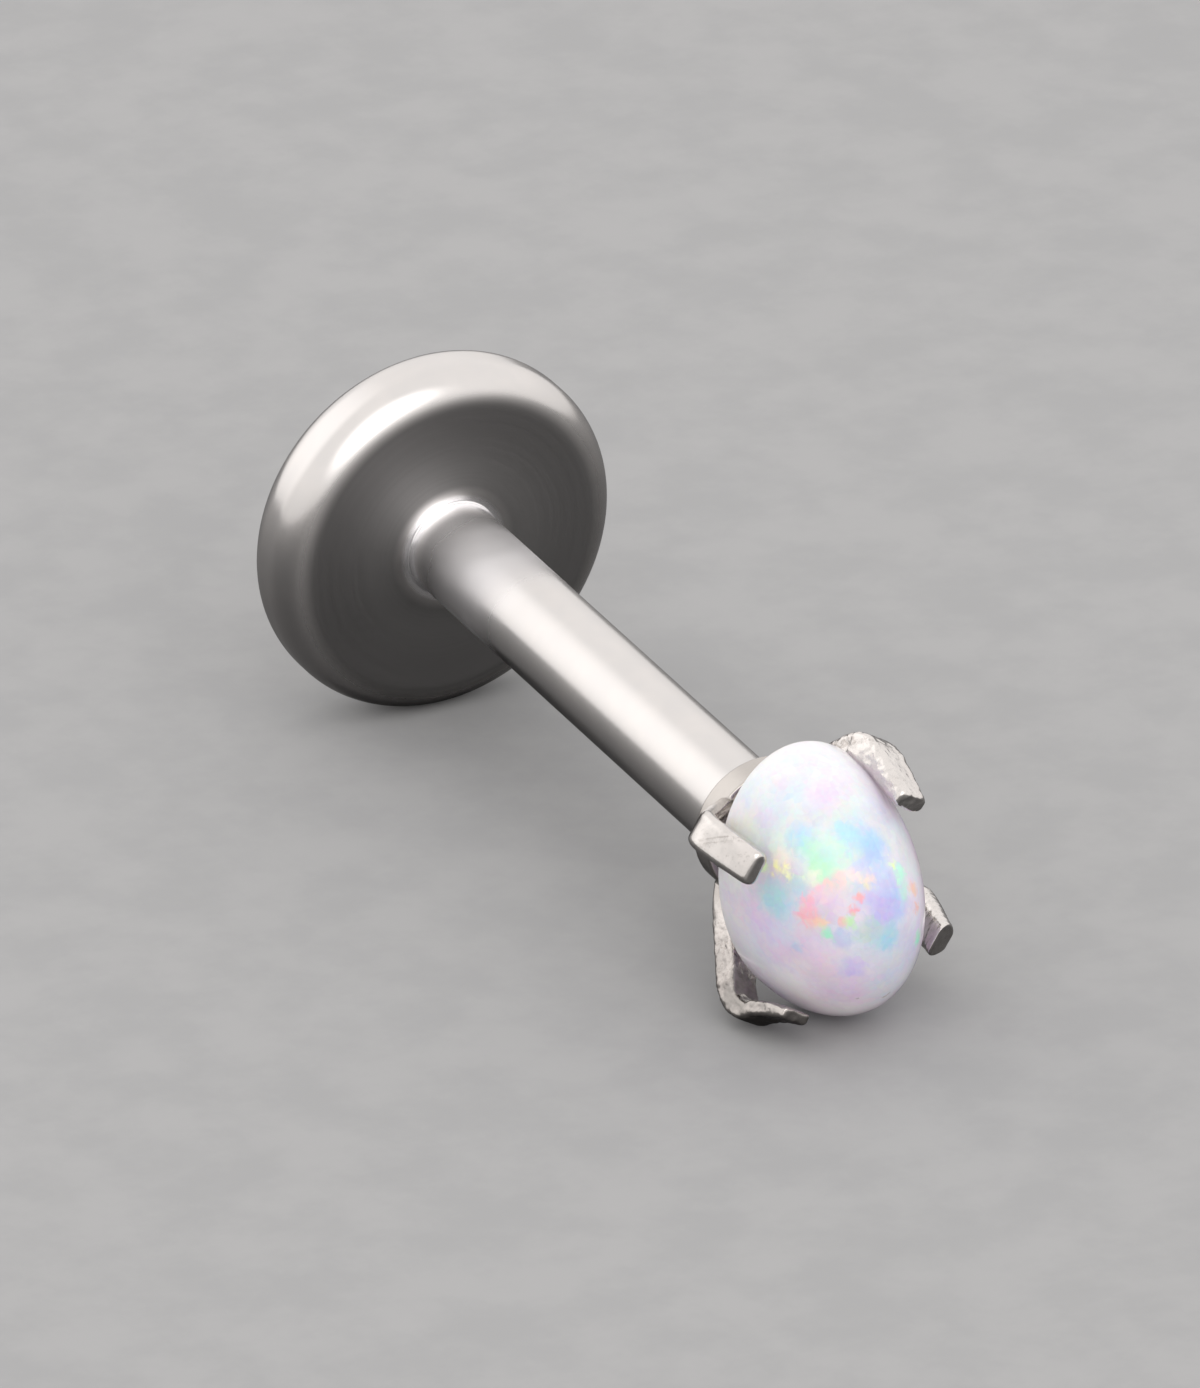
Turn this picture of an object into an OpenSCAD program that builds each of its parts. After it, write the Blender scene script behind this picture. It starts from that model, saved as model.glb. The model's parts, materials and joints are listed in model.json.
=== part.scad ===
// Flat back stud, unworn, lying on its side on a flat surface.
// A polished disc and post carry an oval opal cabochon in a four-prong setting.
// Millimetres. The stud lies along Y with the stone towards -Y, and rests on Z = 0.

/* [Flat back] */
// Diameter of the disc
disc_d = 3.9; // [3:0.1:5]
// Thickness of the disc
disc_t = 0.9; // [0.8:0.05:1.2]
// Radius of the disc's rounded edge
disc_edge_r = 0.38; // [0.1:0.02:0.38]

/* [Post] */
// Diameter of the post, 18 gauge
post_d = 1.02; // [0.8:0.02:1.2]
// Wearing length, from the disc to the setting
wear_l = 6.35; // [5:0.05:10]
// Chamfer round the post's free end
post_chamfer = 0.04; // [0.02:0.01:0.08]

/* [Push pin] */
// Diameter of the setting's pin
pin_d = 0.5; // [0.4:0.02:0.6]
// Length of the pin inside the post
pin_l = 3; // [2:0.1:4]
// Clearance round the pin
pin_clear = 0.03; // [0.02:0.01:0.05]
// Length of the hole beyond the pin's end
hole_extra = 0.3; // [0.1:0.1:0.6]

/* [Setting] */
// Gap between the pieces
seam = 0.02; // [0.01:0.01:0.04]
// Diameter of the round base plate
plate_d = 1.48; // [1.4:0.02:1.6]
// Thickness of the base plate
plate_t = 0.3; // [0.2:0.05:0.4]
// Diameter of the seat under the stone
seat_d = 1.3; // [1:0.1:1.5]
// Width of each prong: upper right, upper left, lower left and lower right
prong_w = [0.35, 0.4, 0.35, 0.35]; // [0.3:0.01:0.45]
// Thickness of each prong, in the same order
prong_t = [0.19, 0.19, 0.23, 0.19]; // [0.15:0.01:0.25]
// Inner radius of a prong's bend
bend_inner_r = 0.08; // [0.05:0.01:0.12]
// Height of the bends above the plate's back
bend_at_h = 1.1; // [1:0.05:1.2]
// Distance of each bend from the axis, in the same order
bend_at_r = [1.52, 1.44, 1.55, 1.51]; // [1.4:0.005:1.65]
// Distance of each tip from the axis, in the same order
tip_at_r = [1.24, 1.21, 1.2, 1.23]; // [1.18:0.01:1.35]
// Height of each tip above the plate's back, in the same order
tip_at_h = [2.02, 1.9, 2.06, 1.96]; // [1.8:0.01:2.1]

/* [Opal] */
// Length of the oval stone
stone_l = 3.02; // [2.9:0.02:3.2]
// Width of the oval stone
stone_w = 1.98; // [1.9:0.02:2.1]
// Height of the stone's dome above its girdle
dome_h = 1.5; // [1.3:0.05:1.6]
// Height of the stone's widest section above its flat back
back_h = 0.08; // [0.04:0.01:0.15]
// Height of the stone's girdle above the plate's back
girdle_at_h = 1.15; // [1.1:0.01:1.3]
// Turn of the stone between its prongs
stone_turn = -1.6; // [-3:0.2:3]

/* [Hidden] */
$fn = 96;
eps = 0.01;

disc_r = disc_d / 2;
post_r = post_d / 2;
pin_r = pin_d / 2;
plate_r = plate_d / 2;
seat_r = seat_d / 2;
semi_l = stone_l / 2;
semi_w = stone_w / 2;
prong_count = 4;
prong_root_r = 0.55;
prong_root_h = 0.1;
bend_steps = 6;

// The four prongs stand midway between the stone's long and short axes.
prong_turn = 45;

// Unit vector from one point to another
function toward(a, b) = (b - a) / norm(b - a);
// A vector turned a quarter turn to its left
function left_of(v) = [-v[1], v[0]];

// A prong in the plane through the axis, as distance from it and height: a leg out from the plate,
// a rounded bend and a foot over the stone
root = [prong_root_r, prong_root_h];
function half_t(i) = prong_t[i] / 2;
function bend_mid_r(i) = bend_inner_r + half_t(i);
function bend(i) = [bend_at_r[i], bend_at_h];
function tip(i) = [tip_at_r[i], tip_at_h[i]];
function leg(i) = toward(root, bend(i));
function foot(i) = toward(bend(i), tip(i));
function leg_angle(i) = atan2(leg(i)[1], leg(i)[0]);
function bend_turn(i) = atan2(foot(i)[1], foot(i)[0]) - leg_angle(i);
function bend_centre(i) =
    bend(i) - bend_mid_r(i) * tan(bend_turn(i) / 2) * leg(i) + bend_mid_r(i) * left_of(leg(i));

// How far the lower left prong's outer corner and the stone's edge reach from the axis, in the
// direction straight down, when the setting is turned by an angle about the post
lower_left = 2;
bend_outer_r = bend_centre(lower_left)[0] + bend_inner_r + prong_t[lower_left];
function prong_reach(turn) =
    bend_outer_r * cos(prong_turn - turn) + prong_w[lower_left] / 2 * sin(prong_turn - turn);
function stone_reach(turn) = norm([semi_l * cos(turn + stone_turn), semi_w * sin(turn + stone_turn)]);

// The head rolls until a prong and the stone's edge both touch the surface, found by halving.
function settle(low, high, halvings) =
    let (middle = (low + high) / 2)
    halvings == 0 ? middle
    : prong_reach(middle) < stone_reach(middle) ? settle(middle, high, halvings - 1)
    : settle(low, middle, halvings - 1);
head_roll = settle(0, 30, 20);
head_reach = stone_reach(head_roll);

// The stud lies on the disc's edge and on the head, so the head end is a little lower.
drop = disc_r - disc_edge_r - head_reach;
span = wear_l + disc_edge_r + girdle_at_h;
tilt = atan2(drop, span) + asin(disc_edge_r / norm([drop, span]));
lift = norm([head_reach * cos(tilt), dome_h * sin(tilt)]) + girdle_at_h * sin(tilt);

// The origin is under the middle of the whole stud's box.
reach_back = (disc_r - disc_edge_r) * sin(tilt) + disc_edge_r
    + (wear_l + disc_t - disc_edge_r) * cos(tilt);
reach_front = norm([head_reach * sin(tilt), dome_h * cos(tilt)]) + girdle_at_h * cos(tilt);
shift = (reach_front - reach_back) / 2;

// Turns a piece made along the post's axis, with the plate's back at zero and the stone up,
// to the way the stud lies.
module lying() {
    translate([0, shift, lift]) rotate([90 + tilt, 0, 0]) children();
}

// Section of the disc, with its rounded edge
module disc_section() {
    edge_at = disc_r - disc_edge_r;
    square([edge_at, disc_t]);
    translate([0, disc_edge_r]) square([disc_r, disc_t - 2 * disc_edge_r]);
    for (h = [disc_edge_r, disc_t - disc_edge_r])
        intersection() {
            translate([edge_at, h]) circle(disc_edge_r);
            square([disc_r, disc_t]);
        }
}

// Section of the post, with its chamfered end
module post_section() {
    polygon([
        [0, -wear_l - eps],
        [post_r, -wear_l - eps],
        [post_r, -seam - post_chamfer],
        [post_r - post_chamfer, -seam],
        [0, -seam]
    ]);
}

module flat_back_post() {
    color("silver") lying() difference() {
        union() {
            translate([0, 0, -wear_l - disc_t]) rotate_extrude() disc_section();
            rotate_extrude() post_section();
        }
        translate([0, 0, -pin_l - hole_extra]) cylinder(r = pin_r + pin_clear, h = pin_l + hole_extra);
    }
}

// Section of the pin, the base plate and the seat under the stone
module plate_section() {
    rim = 0.03;
    seat_top = girdle_at_h - back_h - seam;
    polygon([
        [0, -pin_l],
        [pin_r - rim, -pin_l],
        [pin_r, -pin_l + rim],
        [pin_r, 0],
        [plate_r - rim, 0],
        [plate_r, rim],
        [plate_r, plate_t - rim],
        [plate_r - rim, plate_t],
        [post_r, plate_t],
        [seat_r, seat_top],
        [0, seat_top]
    ]);
}

// Outline of one of the prongs, round its bend on the outside and back on the inside
function bend_way(i, step) =
    let (a = leg_angle(i) - 90 + bend_turn(i) * step / bend_steps) [cos(a), sin(a)];
function prong_outline(i) = concat(
    [root - half_t(i) * left_of(leg(i))],
    [for (step = [0:bend_steps]) bend_centre(i) + (bend_inner_r + prong_t[i]) * bend_way(i, step)],
    [tip(i) - half_t(i) * left_of(foot(i)), tip(i) + half_t(i) * left_of(foot(i))],
    [for (step = [bend_steps:-1:0]) bend_centre(i) + bend_inner_r * bend_way(i, step)],
    [root + half_t(i) * left_of(leg(i))]
);

module prong(i) {
    rotate([90, 0, 0]) linear_extrude(prong_w[i], center = true) polygon(prong_outline(i));
}

// The stone's long axis is upright before the roll, so the prongs start from that axis.
module prong_setting() {
    color("gainsboro") lying() rotate([0, 0, head_roll]) {
        rotate_extrude() plate_section();
        for (i = [0:prong_count - 1])
            rotate([0, 0, prong_turn + i * 360 / prong_count]) prong(i);
    }
}

// Half an ellipsoid, with its flat back a little below its widest section
module opal_cabochon() {
    color("lavenderblush") lying() rotate([0, 0, head_roll + stone_turn])
        translate([0, 0, girdle_at_h]) intersection() {
            scale([semi_w, semi_l, dome_h]) sphere(1);
            translate([-semi_l, -semi_l, -back_h]) cube([stone_l, stone_l, back_h + 2 * dome_h]);
        }
}

flat_back_post();
prong_setting();
opal_cabochon();
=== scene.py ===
# Looks of the flat back stud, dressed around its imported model.
# Meshes are worked out in millimetres along the post's axis, as in the model's source: the base
# plate's back is at zero and the stone is up. They are then laid on the floor in metres.
import json
from math import acos, asin, atan2, cos, degrees, dist, hypot, pi, radians, sin, sqrt

import bmesh
import bpy
import numpy as np
from mathutils import Matrix, Vector, noise


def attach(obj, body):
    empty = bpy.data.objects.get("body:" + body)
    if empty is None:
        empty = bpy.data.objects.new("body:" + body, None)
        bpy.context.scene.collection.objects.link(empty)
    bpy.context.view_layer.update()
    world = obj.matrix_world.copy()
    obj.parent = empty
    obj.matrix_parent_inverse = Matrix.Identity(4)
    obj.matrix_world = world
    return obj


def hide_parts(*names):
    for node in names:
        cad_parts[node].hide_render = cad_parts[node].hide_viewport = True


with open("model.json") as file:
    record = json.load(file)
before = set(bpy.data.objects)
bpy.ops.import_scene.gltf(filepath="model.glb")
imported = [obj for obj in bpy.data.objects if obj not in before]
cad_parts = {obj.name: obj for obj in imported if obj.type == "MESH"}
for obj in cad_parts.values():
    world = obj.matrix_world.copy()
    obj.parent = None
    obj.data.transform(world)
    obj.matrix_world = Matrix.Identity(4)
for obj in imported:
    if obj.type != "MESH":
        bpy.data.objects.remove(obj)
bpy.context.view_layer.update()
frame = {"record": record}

# Sizes in millimetres
DISC_R, DISC_T, DISC_EDGE_R = 1.95, 0.9, 0.38
POST_R, WEAR_L, POST_CHAMFER = 0.51, 6.35, 0.04
PIN_R, PIN_L, PIN_CLEAR, HOLE_EXTRA = 0.25, 3.0, 0.03, 0.3
PLATE_R, PLATE_T, PLATE_OFF, SEAT_R = 0.73, 0.3, 0.035, 0.65
STONE_SEMI_L, STONE_SEMI_W, DOME_H, BACK_H, GIRDLE_AT_H = 1.51, 0.99, 1.5, 0.08, 1.15
SEAM, RIM = 0.02, 0.03

# Size of the cubes that the casting is fused from, and how far softening draws its sides in
VOXEL, DRAWN_IN = 0.016, 0.004

# Casting noise in waves per millimetre: lumps, grain, and a finer grain with its share
LUMP_WAVES, GRAIN_WAVES, FINE_WAVES, FINE_SHARE = 4.2, 15.0, 33.0, 0.4

# Each prong's turn about the axis, how round its edges are, how far its outer side bulges, how
# slanted and how round the cut of its tip is, the size of its casting lumps and grain, and its way
# from the plate to the tip. A row of the way has the outer side's distance from the axis and its
# height, the thickness, the width and the side shift.
PRONGS = {
    "upper_right": dict(turn=45, edge=0.07, bow=0.0, cut=0.15, rim=0.03, lump=0.010, grain=0.008, way=(
        (0.50, 0.00, 0.19, 0.36, 0.00),
        (1.10, 0.62, 0.22, 0.42, 0.06),
        (1.48, 0.97, 0.27, 0.45, 0.08),
        (1.57, 1.27, 0.33, 0.44, 0.08),
        (1.45, 1.66, 0.26, 0.39, 0.04),
        (1.32, 2.01, 0.19, 0.35, 0.00),
    )),
    "upper_left": dict(turn=135, edge=0.075, bow=0.0, cut=0.3, rim=0.07, lump=0.006, grain=0.0, way=(
        (0.50, 0.00, 0.19, 0.40, 0.00),
        (1.34, 0.84, 0.19, 0.39, 0.00),
        (1.53, 1.06, 0.19, 0.39, -0.01),
        (1.48, 1.40, 0.18, 0.39, -0.01),
        (1.32, 1.91, 0.18, 0.37, -0.02),
    )),
    "lower_left": dict(turn=225, edge=0.045, bow=0.0, cut=0.25, rim=0.025, lump=0.012, grain=0.007, way=(
        (0.50, -0.02, 0.28, 0.35, 0.00),
        (0.90, 0.20, 0.30, 0.35, 0.00),
        (1.28, 0.68, 0.30, 0.35, 0.00),
        (1.62, 1.06, 0.26, 0.35, 0.00),
        (1.62, 1.48, 0.18, 0.35, 0.00),
        (1.42, 1.66, 0.17, 0.35, 0.00),
        (1.27, 2.07, 0.12, 0.35, 0.00),
    )),
    "lower_right": dict(turn=315, edge=0.11, bow=0.07, cut=0.9, rim=0.03, lump=0.004, grain=0.003, way=(
        (0.50, 0.00, 0.19, 0.35, 0.00),
        (1.20, 0.72, 0.24, 0.38, 0.02),
        (1.65, 1.04, 0.32, 0.46, 0.04),
        (1.58, 1.42, 0.28, 0.43, 0.02),
        (1.40, 1.92, 0.24, 0.38, 0.01),
    )),
}


# How the stud lies: the mount on the disc's back gives the post's tilt and the plate's place, and
# the stone has a small turn of its own between the prongs.
DISC_BACK = next(m for m in frame["record"]["mounts"] if m["name"] == "disc_back")
POST_WAY = Vector(DISC_BACK["axis"]).normalized()
PLATE_AT = Vector(DISC_BACK["pos_m"]) * 1000 - POST_WAY * (WEAR_L + DISC_T)
TILT = asin(POST_WAY.z)
STONE_TURN = radians(-1.6)


def head_roll():
    """The turn about the post at which the stone's widest edge touches the floor."""
    # The stone's reach straight down lies between its half width and half length.
    sunk = sin(TILT)
    reach = sqrt((PLATE_AT.z - GIRDLE_AT_H * sunk) ** 2 - (DOME_H * sunk) ** 2) / cos(TILT)
    share = (reach ** 2 - STONE_SEMI_W ** 2) / (STONE_SEMI_L ** 2 - STONE_SEMI_W ** 2)
    return acos(sqrt(share)) - STONE_TURN


def laid(turn=0.0):
    """From millimetres along the post's axis to metres on the floor."""
    return (
        Matrix.Scale(0.001, 4)
        @ Matrix.Translation(PLATE_AT)
        @ Matrix.Rotation(pi / 2 + TILT, 4, "X")
        @ Matrix.Rotation(turn, 4, "Z")
    )


HEAD_ROLL = head_roll()
ALONG_POST = laid()
ALONG_HEAD = laid(HEAD_ROLL)
ALONG_STONE = laid(HEAD_ROLL + STONE_TURN)


# Meshes

def arc(centre, radius, start, end, steps):
    """Points round part of a circle, angles in degrees."""
    turns = [radians(start + (end - start) * k / steps) for k in range(steps + 1)]
    return [(centre[0] + radius * cos(a), centre[1] + radius * sin(a)) for a in turns]


def line(start, end, steps):
    """Points along a straight stretch, closer together near its ends."""
    return [
        tuple(a + (b - a) * (1 - cos(pi * k / steps)) / 2 for a, b in zip(start, end))
        for k in range(steps + 1)
    ]


def skin(sections, segments):
    """Vertices and faces over oval rings, from rows of half width, half length and height. A ring
    of no size is a single point."""
    turns = [2 * pi * k / segments for k in range(segments)]
    verts, faces, rings = [], [], []
    for half_w, half_l, z in sections:
        first = len(verts)
        if half_w < 1e-6:
            verts.append(Vector((0, 0, z)))
            rings.append([first] * segments)
        else:
            verts += [Vector((half_w * cos(a), half_l * sin(a), z)) for a in turns]
            rings.append(list(range(first, first + segments)))
    for low, high in zip(rings, rings[1:]):
        for k in range(segments):
            nxt = (k + 1) % segments
            face = list(dict.fromkeys((low[k], low[nxt], high[nxt], high[k])))
            if len(face) > 2:
                faces.append(face)
    return verts, faces


def lathe(profile, segments):
    """Vertices and faces of a profile of distance and height, turned about the axis."""
    outline = profile[:1] + [p for before, p in zip(profile, profile[1:]) if dist(before, p) > 1e-6]
    return skin([(r, r, z) for r, z in outline], segments)


def mesh_of(name, verts, faces):
    """A smooth mesh with its faces turned outwards."""
    mesh = bpy.data.meshes.new(name)
    mesh.from_pydata(verts, [], faces)
    built = bmesh.new()
    built.from_mesh(mesh)
    bmesh.ops.recalc_face_normals(built, faces=built.faces)
    built.to_mesh(mesh)
    built.free()
    mesh.shade_smooth()
    return mesh


def add_object(name, data):
    thing = bpy.data.objects.new(name, data)
    bpy.context.scene.collection.objects.link(thing)
    return thing


def applied(thing):
    """The object's mesh with its modifiers worked in."""
    graph = bpy.context.evaluated_depsgraph_get()
    mesh = bpy.data.meshes.new_from_object(thing.evaluated_get(graph))
    thing.modifiers.clear()
    old, thing.data = thing.data, mesh
    bpy.data.meshes.remove(old)
    return mesh


# Flat back and post

def flat_back_post_mesh():
    back, front = -WEAR_L - DISC_T, -WEAR_L
    edge_at = DISC_R - DISC_EDGE_R
    fillet, lip = 0.03, 0.012
    hole_r, hole_end = PIN_R + PIN_CLEAR, -PIN_L - HOLE_EXTRA
    profile = (
        line((0, back), (edge_at, back), 8)
        + arc((edge_at, back + DISC_EDGE_R), DISC_EDGE_R, -90, 0, 20)
        + arc((edge_at, front - DISC_EDGE_R), DISC_EDGE_R, 0, 90, 20)
        + line((edge_at, front), (POST_R + fillet, front), 8)
        + arc((POST_R + fillet, front + fillet), fillet, 270, 180, 6)
        + line((POST_R, front + fillet), (POST_R, -SEAM - POST_CHAMFER), 24)
        + arc((POST_R - POST_CHAMFER, -SEAM - POST_CHAMFER), POST_CHAMFER, 0, 90, 6)
        + line((POST_R - POST_CHAMFER, -SEAM), (hole_r + lip, -SEAM), 3)
        + arc((hole_r + lip, -SEAM - lip), lip, 90, 180, 3)
        + line((hole_r, -SEAM - lip), (hole_r, hole_end), 8)
        + [(0, hole_end)]
    )
    return mesh_of("flat_back_post_visual", *lathe(profile, 256))


# Setting

def eased(rows, steps=8):
    """A smooth way that starts and ends at its first and last rows and rounds the others."""
    middles = [tuple((a + b) / 2 for a, b in zip(p, q)) for p, q in zip(rows, rows[1:])]
    knots = [rows[0]] + middles[1:-1] + [rows[-1]]
    way = []
    for start, bend, end in zip(knots, rows[1:-1], knots[1:]):
        for k in range(steps):
            x = k / steps
            way.append(tuple(
                (1 - x) ** 2 * a + 2 * x * (1 - x) * b + x * x * c for a, b, c in zip(start, bend, end)
            ))
    return way + [rows[-1]]


def prong_ring(width, thickness, edge, bow):
    """A strip's section with rounded edges, as places across it and inward from its outer side."""
    ring = []
    for corner, (side, depth) in enumerate(((1, 1), (-1, 1), (-1, 0), (1, 0))):
        centre = (side * (width / 2 - edge), thickness - edge if depth else edge)
        ring += arc(centre, edge, corner * 90, corner * 90 + 90, 6)
    return [(x, y + bow * (2 * x / width) ** 2 * (1 - y / thickness)) for x, y in ring]


def prong_solid(prong):
    """Vertices and faces of one prong, a strip along its way with a cut-off tip."""
    way = eased(prong["way"])
    last = len(way) - 1
    spin = Matrix.Rotation(radians(prong["turn"]), 3, "Z")
    rim = prong["rim"]
    stations = [(row, 0.0, 0.0) for row in way[:-1]]
    # The cut tip's rim is rounded in three steps.
    for a in (0, 30, 60, 90):
        stations.append((way[-1], rim * (1 - sin(radians(a))), rim * (1 - cos(radians(a)))))
    verts, faces = [], []
    for k, (row, back, inset) in enumerate(stations):
        r, h, thickness, width, side = row
        before, after = way[max(min(k, last) - 1, 0)], way[min(k + 1, last)]
        along = (Vector(after[:2]) - Vector(before[:2])).normalized()
        inward = Vector((-along.y, along.x))
        edge = min(prong["edge"], thickness * 0.45) - inset
        for across, depth in prong_ring(width - 2 * inset, thickness - 2 * inset, edge, prong["bow"]):
            slant = prong["cut"] * depth if row is way[-1] else 0.0
            place = Vector((r, h)) + along * (slant - back) + inward * (depth + inset)
            verts.append(spin @ Vector((place.x, side + across, place.y)))
    n = len(verts) // len(stations)
    for s in range(len(stations) - 1):
        for k in range(n):
            nxt = (k + 1) % n
            faces.append((s * n + k, s * n + nxt, (s + 1) * n + nxt, (s + 1) * n + k))
    faces.append(tuple(range(n)))
    faces.append(tuple(len(verts) - n + k for k in reversed(range(n))))
    return verts, faces


def plate_solid():
    """The round base plate with the cone of the stone's seat on it."""
    seat_top = GIRDLE_AT_H - BACK_H - SEAM
    profile = (
        [(0, 0)]
        + line((0.1, 0), (PLATE_R - RIM, 0), 6)
        + arc((PLATE_R - RIM, RIM), RIM, -90, 0, 6)
        + arc((PLATE_R - RIM, PLATE_T - RIM), RIM, 0, 90, 6)
        + line((POST_R, PLATE_T), (SEAT_R, seat_top), 6)
        + [(0, seat_top)]
    )
    verts, faces = lathe(profile, 128)
    return [v + Vector((PLATE_OFF, 0, 0)) for v in verts], faces


def pin_solid():
    inside_plate = 0.1
    profile = (
        [(0, -PIN_L)]
        + arc((PIN_R - RIM, -PIN_L + RIM), RIM, -90, 0, 4)
        + line((PIN_R, -PIN_L + RIM), (PIN_R, inside_plate), 8)
        + [(0, inside_plate)]
    )
    return lathe(profile, 48)


def true_plate(places):
    """Brings the plate's fused side back to a true round one."""
    off = places[:, :2] - (PLATE_OFF, 0)
    far = np.hypot(off[:, 0], off[:, 1])
    between_rims = (places[:, 2] > RIM) & (places[:, 2] < PLATE_T - RIM)
    side = between_rims & (abs(far - PLATE_R) < VOXEL)
    places[side, :2] = (PLATE_OFF, 0) + off[side] * ((PLATE_R - DRAWN_IN) / far[side])[:, None]


def prong_at(place):
    """The prong nearest to a place, by its turn about the axis."""
    turn = degrees(atan2(place.y, place.x))
    return min(PRONGS.values(), key=lambda prong: abs((turn - prong["turn"] + 180) % 360 - 180))


def casting_rise(place):
    """How far casting lumps and grain raise the surface at a place; the plate stays plain."""
    prong = prong_at(place)
    plain_to, rough_from = 0.8, 1.0
    share = (hypot(place.x, place.y) - plain_to) / (rough_from - plain_to)
    lump = noise.noise(place * LUMP_WAVES) * prong["lump"]
    fine = FINE_SHARE * noise.noise(place * FINE_WAVES)
    grain = (noise.noise(place * GRAIN_WAVES) + fine) * prong["grain"]
    return min(1.0, max(0.0, share)) * (lump + grain)


def cast_surface(mesh):
    """Trues up the plate's side and gives each prong its own casting lumps and grain."""
    count = len(mesh.vertices)
    places, normals = np.empty(count * 3), np.empty(count * 3)
    mesh.vertices.foreach_get("co", places)
    mesh.vertices.foreach_get("normal", normals)
    places, normals = places.reshape(-1, 3), normals.reshape(-1, 3)
    true_plate(places)
    rise = np.array([casting_rise(Vector(p)) for p in places])
    mesh.vertices.foreach_set("co", (places + normals * rise[:, None]).ravel())


def prong_setting_mesh():
    """Plate, seat and prongs fused into one casting, with the pin under them."""
    verts, faces = [], []
    for solid in [plate_solid()] + [prong_solid(p) for p in PRONGS.values()]:
        first = len(verts)
        verts += solid[0]
        faces += [tuple(first + k for k in face) for face in solid[1]]
    cast = add_object("casting", mesh_of("casting", verts, faces))
    fuse = cast.modifiers.new("fuse", "REMESH")
    fuse.mode, fuse.voxel_size, fuse.adaptivity = "VOXEL", VOXEL, 0
    soften = cast.modifiers.new("soften", "SMOOTH")
    soften.factor, soften.iterations = 0.5, 7
    mesh = applied(cast)
    cast_surface(mesh)
    built = bmesh.new()
    built.from_mesh(mesh)
    pin = mesh_of("pin", *pin_solid())
    built.from_mesh(pin)
    built.to_mesh(mesh)
    built.free()
    bpy.data.meshes.remove(pin)
    bpy.data.objects.remove(cast)
    mesh.name = "prong_setting_visual"
    mesh.shade_smooth()
    return mesh


# Stone

def opal_mesh():
    """The oval dome, with a small rounded edge below its widest section and a flat back."""
    edge, straight_to = 0.03, -0.02
    dome = [(sin(radians(a)), DOME_H * cos(radians(a)), 0.0) for a in range(91)]
    side = [(1.0, straight_to, 0.0), (1.0, edge - BACK_H, 0.0)]
    rounded = [
        (1.0, edge - BACK_H - edge * sin(radians(a)), edge * (1 - cos(radians(a))))
        for a in range(18, 91, 18)
    ]
    back = [(share, -BACK_H, 0.0) for share in (0.8, 0.4, 0.0)]
    sections = [
        (STONE_SEMI_W * share - inset, STONE_SEMI_L * share - inset, GIRDLE_AT_H + height)
        for share, height, inset in dome + side + rounded + back
    ]
    return mesh_of("opal_cabochon_visual", *skin(sections, 240))


# Materials

class Graph:
    """Short calls for building a node tree. Colours are red, green and blue."""

    def __init__(self, tree):
        self.tree = tree
        tree.nodes.clear()

    def node(self, kind, inputs=(), **settings):
        made = self.tree.nodes.new("ShaderNode" + kind)
        for key, value in settings.items():
            setattr(made, key, value)
        for key, value in dict(inputs).items():
            self.put(made, key, value)
        return made

    def put(self, made, key, value):
        """Links a node or socket to an input, or sets the input to a value."""
        if hasattr(value, "outputs"):
            value = value.outputs[0]
        entry = made.inputs[key]
        if isinstance(value, bpy.types.NodeSocket):
            self.tree.links.new(value, entry)
        else:
            entry.default_value = (*value, 1) if entry.type == "RGBA" else value

    def plus(self, a, b, clamp=False):
        return self.node("Math", {0: a, 1: b}, operation="ADD", use_clamp=clamp)

    def times(self, first, *others):
        for other in others:
            first = self.node("Math", {0: first, 1: other}, operation="MULTIPLY")
        return first

    def rest(self, share):
        """What a share leaves of one."""
        return self.node("Math", {0: 1.0, 1: share}, operation="SUBTRACT")

    def vector(self, operation, a, b=(0, 0, 0)):
        return self.node("VectorMath", {0: a, 1: b}, operation=operation)

    def scaled(self, a, size):
        return self.node("VectorMath", {0: a, "Scale": size}, operation="SCALE")

    def centred(self, colour):
        """A noise colour as a vector about zero."""
        return self.vector("SUBTRACT", colour, (0.5, 0.5, 0.5))

    def ramp(self, value, low, high, to_low=0.0, to_high=1.0, smooth=True):
        return self.node(
            "MapRange", {0: value, 1: low, 2: high, 3: to_low, 4: to_high},
            interpolation_type="SMOOTHSTEP" if smooth else "LINEAR",
        )

    def mix(self, share, a, b, blend="MIX"):
        made = self.node("Mix", data_type="RGBA", blend_type=blend)
        self.put(made, 0, share)
        self.put(made, 6, a)
        self.put(made, 7, b)
        return made.outputs[2]

    def noise(self, at, scale, detail, roughness=0.5):
        return self.node(
            "TexNoise", {"Vector": at, "Scale": scale, "Detail": detail, "Roughness": roughness}
        )

    def cells(self, at, scale):
        return self.node("TexVoronoi", {"Vector": at, "Scale": scale}, feature="F1")

    def place(self, matrix):
        """Places in millimetres in a piece's own directions."""
        at = self.node("TexCoord").outputs["Object"]
        where, turn, size = matrix.decompose()
        inputs = {"Vector": at, "Location": where, "Rotation": turn.to_euler("XYZ"), "Scale": size}
        return self.node("Mapping", inputs, vector_type="TEXTURE").outputs[0]

    def reach(self, at):
        """Distance from the post's axis."""
        return self.vector("LENGTH", self.vector("MULTIPLY", at, (1, 1, 0))).outputs["Value"]

    def surface(self, colour, rough, more, height=None, relief=0.0, depth=0.0):
        """The material's shader, with relief of a depth in millimetres where it has a height."""
        inputs = {"Base Color": colour, "Roughness": rough, **more}
        if height is not None:
            bump = {"Strength": relief, "Distance": depth / 1000, "Height": height}
            inputs["Normal"] = self.node("Bump", bump)
        self.node("OutputMaterial", {0: self.node("BsdfPrincipled", inputs)})


def new_material(name):
    material = bpy.data.materials.new(name)
    material.use_nodes = True
    return material, Graph(material.node_tree)


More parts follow.
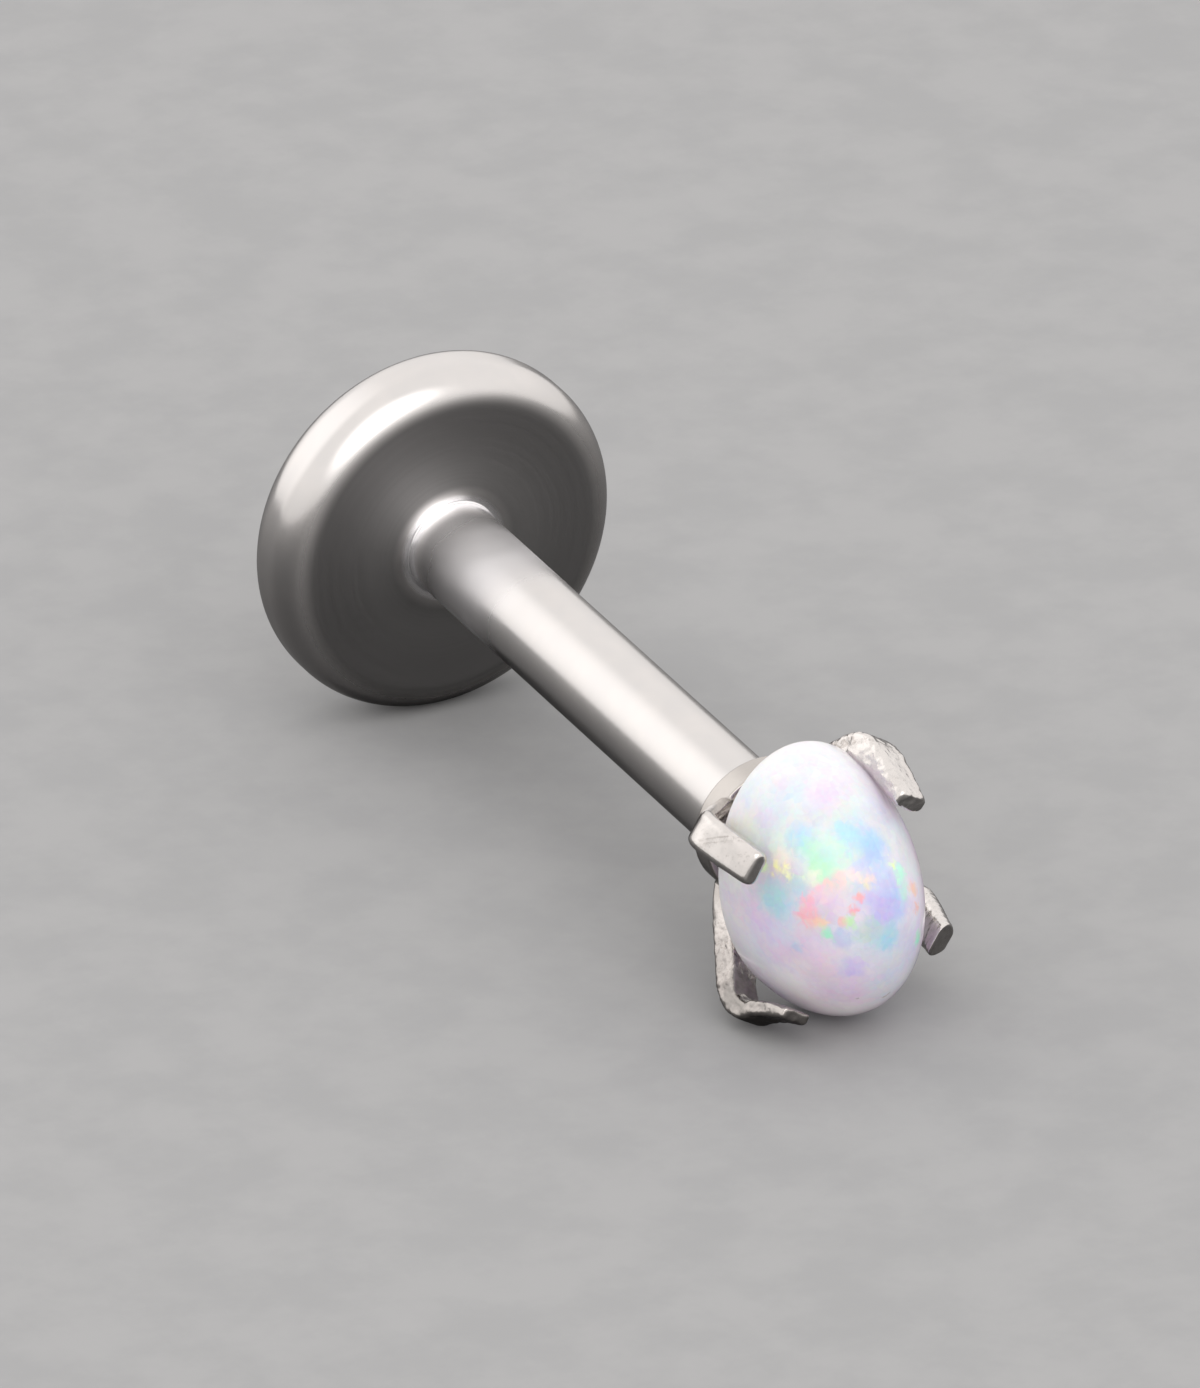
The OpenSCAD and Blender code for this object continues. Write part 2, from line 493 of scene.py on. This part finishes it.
def polished_steel():
    """Polished steel with faint turning marks and haze, a satin face coloured dark as painted shade, and
    a painted highlight near the root.
    """
    material, g = new_material("polished_steel_look")
    at = g.place(ALONG_POST)
    reach = g.reach(at)
    z = g.node("SeparateXYZ", {0: at}).outputs[2]
    above_face = g.plus(z, WEAR_L)
    marks = g.noise(g.node("CombineXYZ", {0: reach, 1: z}), 38.0, 4.0, 0.6)
    haze = g.noise(at, 2.2, 5.0, 0.6)
    scratch = g.noise(g.vector("MULTIPLY", at, (5.0, 5.0, 40.0)), 1.0, 3.0)

    # Where the disc's face is satin, between the post and the rounded edge
    flat_r = DISC_R - DISC_EDGE_R
    satin = g.times(
        g.ramp(reach, POST_R + 0.03, POST_R + 0.21),
        g.ramp(reach, flat_r + 0.22, flat_r + 0.02),
        g.ramp(g.node("Math", {0: above_face}, operation="ABSOLUTE"), 0.08, 0.03),
    )
    # Where the post is coloured brighter near the disc, a painted highlight at its root
    root = g.times(
        g.ramp(above_face, -0.1, -0.05),
        g.ramp(above_face, 2.1, 1.1),
        g.ramp(reach, POST_R + 0.11, POST_R + 0.03),
    )

    polish = g.plus(g.ramp(haze, 0.3, 0.7, 0.17, 0.22), g.ramp(marks, 0.35, 0.75, 0.0, 0.03))
    brushed = g.ramp(marks, 0.3, 0.7, 0.54, 0.6)
    rough = g.plus(g.times(polish, g.rest(satin)), g.times(brushed, satin))
    rough = g.plus(rough, g.times(root, g.ramp(above_face, 0.25, 0.7, 0.02, 0.2)))
    # Painted shade: the satin face is coloured dark, a little less dark near the post, for the dark
    # reflection it shows
    face = g.mix(g.ramp(reach, 0.8, 1.4), (0.24, 0.237, 0.234), (0.2, 0.197, 0.195))
    tint = g.mix(g.ramp(haze, 0.35, 0.7), (0.64, 0.625, 0.615), (0.67, 0.65, 0.635))
    tint = g.mix(satin, tint, face)
    # Painted highlight: the root is coloured near white
    tint = g.mix(root, tint, (0.95, 0.94, 0.95))
    height = g.plus(g.times(marks, 0.6), g.times(scratch, 0.4))
    g.surface(tint, rough, {"Metallic": 1.0}, height, relief=0.05, depth=0.002)
    return material


def cast_steel():
    """Satin cast steel: granular prongs with lighter edges, partly wear and partly painted highlight, and
    painted shade in pits and on two prongs.
    """
    material, g = new_material("cast_steel_look")
    at = g.place(ALONG_HEAD)
    x, y, z = g.node("SeparateXYZ", {0: at}).outputs
    grain = g.noise(at, 24.0, 6.0, 0.62)
    patch = g.noise(at, 3.0, 3.0)
    blotch = g.noise(at, 6.5, 2.0)
    pits = g.cells(at, 15.0)
    sharp = g.node("NewGeometry").outputs["Pointiness"]

    # The prongs are rough beyond the plate, but the upper left foot is nearly plain and takes a little
    # blotchy painted shade.
    prongs = g.ramp(g.reach(at), 0.78, 0.95)
    plain = g.times(g.ramp(x, -0.5, -0.8), g.ramp(y, 0.2, 0.6), g.ramp(z, 0.85, 1.0))
    coarse = g.times(prongs, g.rest(g.times(plain, 0.85)))
    # Painted shade on the lower left prong, deepest at its foot.
    low_prong_shade = g.times(g.ramp(y, -0.2, -0.9), g.ramp(x, 0.2, -0.2))
    low_foot_shade = g.times(low_prong_shade, g.ramp(z, 0.95, 1.15), g.ramp(z, 1.95, 1.6))
    # Painted shade in blotches on the lower left prong and, less, on the upper left foot
    blotchy_shade = g.times(g.ramp(blotch, 0.42, 0.62), g.plus(g.times(low_prong_shade, 0.45), g.times(plain, 0.35)))
    blotchy_shade = g.plus(blotchy_shade, g.times(low_foot_shade, g.ramp(blotch, 0.3, 0.6, 0.35, 0.6)), clamp=True)
    # Painted shade of casting pits: darker flecks where the grain is high
    pit_shade = g.times(g.ramp(grain, 0.5, 0.68), coarse)
    # Sharp edges are lighter and smoother: partly wear, partly a painted highlight for the glints at the
    # prongs' edges
    wear_and_glint = g.times(g.ramp(sharp, 0.5, 0.58), g.rest(g.times(low_prong_shade, 0.8)), prongs)

    colour = g.mix(g.ramp(patch, 0.35, 0.65), (0.5, 0.465, 0.44), (0.57, 0.54, 0.515))
    colour = g.mix(prongs, (0.5, 0.475, 0.45), colour)
    # The painted shade darkens the steel here and in the next line
    colour = g.mix(g.times(low_prong_shade, 0.5), colour, (0.3, 0.27, 0.25))
    colour = g.mix(blotchy_shade, colour, (0.24, 0.225, 0.21))
    colour = g.mix(g.times(pit_shade, 0.45), colour, (0.27, 0.25, 0.235))
    colour = g.mix(g.times(wear_and_glint, 0.5), colour, (0.82, 0.8, 0.78))
    rough = g.plus(g.ramp(grain, 0.3, 0.7, 0.16, 0.26), g.times(wear_and_glint, -0.06))
    height = g.times(g.plus(grain, g.times(pits, 0.5)), coarse)
    g.surface(colour, rough, {"Metallic": 1.0}, height, relief=0.22, depth=0.006)
    return material


# Soft flashes in the opal: across and along the stone from its top, how far each reaches in millimetres,
# its colour and how strong it is
FLASHES = [
    # Painted shade, partly the crown's own paler tone: these two rows tone the crown down where light
    # falls most
    ("pale_shaded_crown", -0.35, 1.15, 0.95, (0.62, 0.66, 0.69), 0.95),
    ("pale_shaded_crown_right", 0.4, 0.85, 0.5, (0.63, 0.67, 0.72), 0.8),
    ("lilac_left", -0.85, 0.2, 0.4, (0.72, 0.6, 0.83), 0.6),
    ("rose_low_left", -0.62, -0.15, 0.3, (0.78, 0.66, 0.8), 0.5),
    ("rose_low_middle", -0.45, -0.6, 0.35, (0.76, 0.64, 0.76), 0.5),
    ("grey_green_low", 0.12, -0.6, 0.35, (0.7, 0.76, 0.82), 0.6),
    # Painted light: these two rows lighten the stone's left edge, which lies in shade beside the prongs
    ("pale_lit_left", -0.85, 0.75, 0.35, (0.88, 0.9, 0.86), 0.9),
    ("pale_lit_left_edge", -0.98, 0.95, 0.3, (0.92, 0.9, 0.92), 0.8),
    # Painted light, partly the foot's own pink: these two rows lighten the stone's foot, which faces the
    # floor
    ("pale_lit_foot", -0.35, -1.15, 0.45, (0.97, 0.85, 0.91), 0.9),
    ("pale_lit_foot_left", -0.75, -0.65, 0.3, (0.92, 0.83, 0.88), 0.8),
    ("blue_low_right", 0.12, -0.25, 0.42, (0.58, 0.63, 0.76), 0.6),
    ("crown_lilac", -0.85, 1.05, 0.25, (0.72, 0.62, 0.8), 0.5),
    ("crown_lemon", -0.86, 0.98, 0.14, (0.76, 0.72, 0.54), 0.6),
    ("crown_mint", -0.75, 0.95, 0.25, (0.62, 0.72, 0.62), 0.6),
    ("crown_blue", -0.62, 1.3, 0.2, (0.54, 0.64, 0.76), 0.6),
    ("crown_pink", 0.0, 1.35, 0.2, (0.72, 0.62, 0.74), 0.6),
    ("crown_cyan", 0.05, 1.12, 0.16, (0.52, 0.68, 0.74), 0.6),
    ("periwinkle", 0.1, 0.52, 0.24, (0.54, 0.55, 0.84), 0.75),
    ("blue_right", 0.17, 0.27, 0.22, (0.48, 0.54, 0.86), 0.75),
    ("lavender", 0.03, 0.3, 0.16, (0.56, 0.53, 0.8), 0.6),
    ("sky", 0.19, 0.88, 0.2, (0.4, 0.6, 0.84), 0.9),
    ("sky_small", 0.0, 1.04, 0.14, (0.44, 0.64, 0.82), 0.85),
    ("cyan_left", -0.38, 1.07, 0.15, (0.46, 0.68, 0.8), 0.8),
    ("mint", -0.35, 0.91, 0.21, (0.51, 0.84, 0.66), 0.95),
    ("mint_cyan", -0.2, 0.97, 0.12, (0.5, 0.77, 0.71), 0.8),
    ("mint_foot", -0.33, 0.8, 0.12, (0.55, 0.9, 0.66), 0.75),
    ("lime_pale", -0.56, 1.03, 0.12, (0.78, 0.92, 0.74), 0.4),
    ("cream", -0.47, 0.74, 0.11, (0.86, 0.9, 0.76), 0.7),
    ("lavender_small", -0.5, 0.88, 0.1, (0.72, 0.72, 0.85), 0.7),
    ("pale_cyan_low", -0.6, 0.62, 0.13, (0.56, 0.74, 0.8), 0.7),
    ("teal_left", -0.78, 0.5, 0.2, (0.44, 0.69, 0.78), 0.85),
    ("teal_right", 0.02, 0.0, 0.16, (0.42, 0.66, 0.78), 0.85),
    ("sea_green", -0.12, 0.13, 0.15, (0.5, 0.7, 0.64), 0.7),
    ("blue_spot", -0.37, 0.13, 0.12, (0.52, 0.54, 0.84), 0.6),
    ("violet", -0.36, -0.25, 0.13, (0.58, 0.52, 0.9), 0.65),
    ("blue_fleck", -0.73, 0.0, 0.055, (0.5, 0.68, 0.85), 0.6),
    ("rose_heart", -0.36, 0.54, 0.17, (0.8, 0.66, 0.76), 0.8),
    ("rose_top", -0.25, 0.72, 0.1, (0.85, 0.62, 0.68), 0.7),
    ("rose_shoulder", -0.47, 0.6, 0.12, (0.88, 0.68, 0.74), 0.75),
    ("rose_left", -0.58, 0.5, 0.08, (0.95, 0.54, 0.6), 0.85),
    ("arc_low", -0.54, 0.58, 0.05, (0.95, 0.58, 0.62), 0.75),
    ("arc_left", -0.46, 0.65, 0.05, (0.93, 0.62, 0.66), 0.7),
    ("arc_middle", -0.35, 0.7, 0.05, (0.93, 0.64, 0.66), 0.75),
    ("arc_high", -0.23, 0.73, 0.05, (0.93, 0.63, 0.67), 0.8),
    ("arc_right", -0.1, 0.74, 0.05, (0.93, 0.69, 0.69), 0.75),
    ("coral_left", -0.6, 0.35, 0.09, (0.97, 0.52, 0.56), 0.9),
    ("coral_edge", -0.65, 0.38, 0.06, (0.93, 0.52, 0.58), 0.8),
    ("salmon", -0.52, 0.3, 0.055, (0.95, 0.7, 0.58), 0.8),
    ("coral_foot", -0.35, 0.3, 0.055, (0.92, 0.5, 0.5), 0.85),
    ("coral_right", -0.24, 0.39, 0.042, (0.93, 0.42, 0.44), 0.85),
    ("coral_dot", -0.1, 0.5, 0.038, (0.93, 0.46, 0.48), 0.85),
    ("cream_right", 0.0, 0.66, 0.06, (0.92, 0.74, 0.6), 0.8),
    ("cream_right_low", -0.03, 0.57, 0.055, (0.82, 0.76, 0.52), 0.7),
    ("peach", -0.6, 0.9, 0.1, (0.92, 0.8, 0.72), 0.65),
    ("yellow_green", -0.74, 0.8, 0.065, (0.72, 0.95, 0.62), 0.9),
    ("yellow", -0.665, 0.795, 0.07, (0.95, 0.94, 0.46), 0.95),
    ("yellow_right", -0.62, 0.765, 0.05, (0.93, 0.96, 0.62), 0.8),
    ("lime_spot", -0.29, 0.29, 0.065, (0.55, 0.85, 0.48), 0.85),
    ("emerald_spot", -0.5, 0.2, 0.065, (0.42, 0.86, 0.66), 0.9),
    ("green_edge_spot", 0.37, 0.62, 0.05, (0.72, 0.93, 0.45), 0.9),
    ("green_edge", 0.4, 0.48, 0.09, (0.5, 0.92, 0.68), 0.85),
    ("green_edge_foot", 0.37, 0.3, 0.08, (0.5, 0.85, 0.65), 0.6),
    ("orange_edge", 0.52, 0.22, 0.07, (0.93, 0.6, 0.46), 0.85),
    ("orange_edge_low", 0.49, 0.03, 0.05, (0.9, 0.5, 0.42), 0.7),
    ("green_edge_low", 0.46, -0.3, 0.09, (0.42, 0.9, 0.62), 0.85),
    ("speck_left", -0.28, -0.75, 0.014, (0.35, 0.33, 0.35), 0.7),
    ("speck_right", 0.0, -0.86, 0.022, (0.4, 0.37, 0.4), 0.6),
]


def on_dome(across, along):
    """The place on the stone's dome over a place on its base."""
    over = 1 - (across / STONE_SEMI_W) ** 2 - (along / STONE_SEMI_L) ** 2
    return Vector((across, along, GIRDLE_AT_H + DOME_H * sqrt(max(0, over))))


def opal():
    """Milky opal with soft flashes of colour under a clear gloss; a few pale patches are painted light
    and shade.
    """
    material, g = new_material("opal_look")
    at = g.place(ALONG_STONE)
    clouds = g.noise(at, 2.0, 5.0, 0.55)
    colour = g.mix(g.ramp(clouds, 0.35, 0.65), (0.76, 0.69, 0.82), (0.78, 0.74, 0.86))

    # Flashes with broken and frayed outlines
    drift = g.noise(at, 5.0, 4.0, 0.6)
    bend = g.centred(drift.outputs["Color"])
    flake = g.centred(g.cells(at, 11.0).outputs["Color"])
    strands = g.noise(g.vector("MULTIPLY", at, (14.0, 5.0, 14.0)), 1.0, 3.0)
    fray = g.ramp(strands, 0.3, 0.7, 0.03, -0.03, smooth=False)
    warped = g.vector("ADD", at, g.vector("ADD", g.scaled(bend, 0.15), g.scaled(flake, 0.055)))
    for name, across, along, reach, shade, strength in FLASHES:
        off = g.vector("DISTANCE", warped, on_dome(across, along)).outputs["Value"]
        share = g.ramp(g.plus(off, fray), reach * 1.5 + 0.01, reach * 0.35, 0.0, strength)
        share.label = name
        colour = g.mix(share, colour, shade)

    # Fine sparkle and a pastel veil over all
    colour = g.mix(0.06, colour, g.cells(at, 26.0).outputs["Color"], "SOFT_LIGHT")
    veil = g.noise(g.vector("ADD", at, g.scaled(flake, 0.12)), 2.6, 3.0, 0.6)
    pastel = g.vector("ADD", g.scaled(g.centred(veil.outputs["Color"]), 2.4), (0.5, 0.5, 0.5))
    colour = g.mix(0.3, colour, pastel, "SOFT_LIGHT")

    polish = g.noise(at, 6.0, 3.0)
    milk = {
        "IOR": 1.45, "Subsurface Weight": 1.0,
        "Subsurface Radius": (1.0, 0.92, 0.95), "Subsurface Scale": 0.0013,
    }
    g.surface(colour, g.ramp(polish, 0.3, 0.7, 0.1, 0.18), milk, polish, relief=0.05, depth=0.003)
    return material


# Stage

# The photograph's camera: direction round the object and above the floor in degrees, distance in
# metres, and the base plate's middle at its place in the picture
CAMERA_AZIMUTH, CAMERA_ELEVATION, CAMERA_DISTANCE = -28.7, 26.0, 0.2
PICTURE_W, PICTURE_H, PIXELS_PER_MM = 1200, 1388, 100
PLATE_PIXEL_X, PLATE_PIXEL_Y = 754, 821
SENSOR_MM = 36

# Width of the floor and of the slate card over it, and the gap between them, in metres
FLOOR_W, FLOOR_GAP = 1.2, 0.000004

# Brighter parts of the tent of light: azimuth and elevation, where the glow is full and where it
# ends, in degrees from its middle, and its strength
GLOWS = [
    (-33, 27, 8, 36, 0.4),
    (-166, 40, 14, 36, 1.2),
]


def add_camera():
    a, e = radians(CAMERA_AZIMUTH), radians(CAMERA_ELEVATION)
    back = Vector((sin(a) * cos(e), -cos(a) * cos(e), sin(e)))
    right = Vector((cos(a), sin(a), 0))
    up = back.cross(right)
    metres_per_pixel = 0.001 / PIXELS_PER_MM
    middle = (
        PLATE_AT / 1000
        - right * (PLATE_PIXEL_X - PICTURE_W / 2) * metres_per_pixel
        + up * (PLATE_PIXEL_Y - PICTURE_H / 2) * metres_per_pixel
    )
    data = bpy.data.cameras.new("camera")
    data.sensor_width = SENSOR_MM
    data.lens = SENSOR_MM * CAMERA_DISTANCE / (PICTURE_H * metres_per_pixel)
    data.clip_start, data.clip_end = 0.001, 5
    camera = add_object("camera", data)
    camera.location = middle + back * CAMERA_DISTANCE
    camera.rotation_mode = "QUATERNION"
    camera.rotation_quaternion = (-back).to_track_quat("-Z", "Y")
    bpy.context.scene.camera = camera


def flat_card(name, height):
    half = FLOOR_W / 2
    corners = [(-half, -half, height), (half, -half, height), (half, half, height), (-half, half, height)]
    return add_object(name, mesh_of(name, [Vector(c) for c in corners], [(0, 1, 2, 3)]))


def add_floor():
    """A plain pale floor with a faint mottle."""
    floor = flat_card("floor", -FLOOR_GAP)
    material, g = new_material("pale_floor")
    mottle = g.noise(g.node("TexCoord").outputs["Object"], 900.0, 6.0, 0.6)
    colour = g.mix(g.ramp(mottle, 0.35, 0.65), (0.335, 0.34, 0.345), (0.36, 0.364, 0.368))
    g.surface(colour, 0.85, {"Specular IOR Level": 0.2})
    floor.data.materials.append(material)


def add_slate_card():
    """Dark slate that shows only in the metal's reflections, as it does in the photograph."""
    slate = flat_card("slate_card", 0.0)
    material, g = new_material("slate")
    g.surface((0.035, 0.035, 0.036), 0.4, {"IOR": 1.55})
    slate.data.materials.append(material)
    slate.visible_camera = slate.visible_diffuse = False
    slate.visible_shadow = slate.visible_transmission = False


def direction(azimuth, elevation):
    """Unit vector to a place in the surroundings; azimuth from the back, towards the right."""
    a, e = radians(azimuth), radians(elevation)
    return Vector((sin(a) * cos(e), cos(a) * cos(e), sin(e)))


def add_light():
    """A bright even tent of light, a little brighter above and at its glows."""
    world = bpy.data.worlds.new("studio")
    bpy.context.scene.world = world
    world.use_nodes = True
    g = Graph(world.node_tree)
    way = g.node("TexCoord").outputs["Generated"]
    total = g.ramp(g.node("SeparateXYZ", {0: way}).outputs[2], 0.0, 0.5, 1.0, 1.2)
    for azimuth, elevation, full, end, strength in GLOWS:
        facing = g.vector("DOT_PRODUCT", way, direction(azimuth, elevation)).outputs["Value"]
        glow = g.ramp(facing, cos(radians(end)), cos(radians(full)), 0.0, strength)
        total = g.plus(total, glow)
    shader = g.node("Background", {"Color": (1.0, 0.97, 0.955), "Strength": total})
    g.node("OutputWorld", {0: shader})


# The pieces, each in place of its node in the model

def dress(node, mesh, lie, material):
    """Lays a mesh on the floor with its own material and makes it stand for its CAD node."""
    mesh.transform(lie)
    mesh.materials.append(material)
    thing = add_object(node + "_visual", mesh)
    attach(thing, "root")
    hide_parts(node)


bpy.context.scene.view_settings.view_transform = "Standard"
add_camera()
add_floor()
add_slate_card()
add_light()

dress("flat_back_post", flat_back_post_mesh(), ALONG_POST, polished_steel())
dress("prong_setting", prong_setting_mesh(), ALONG_HEAD, cast_steel())
dress("opal_cabochon", opal_mesh(), ALONG_STONE, opal())
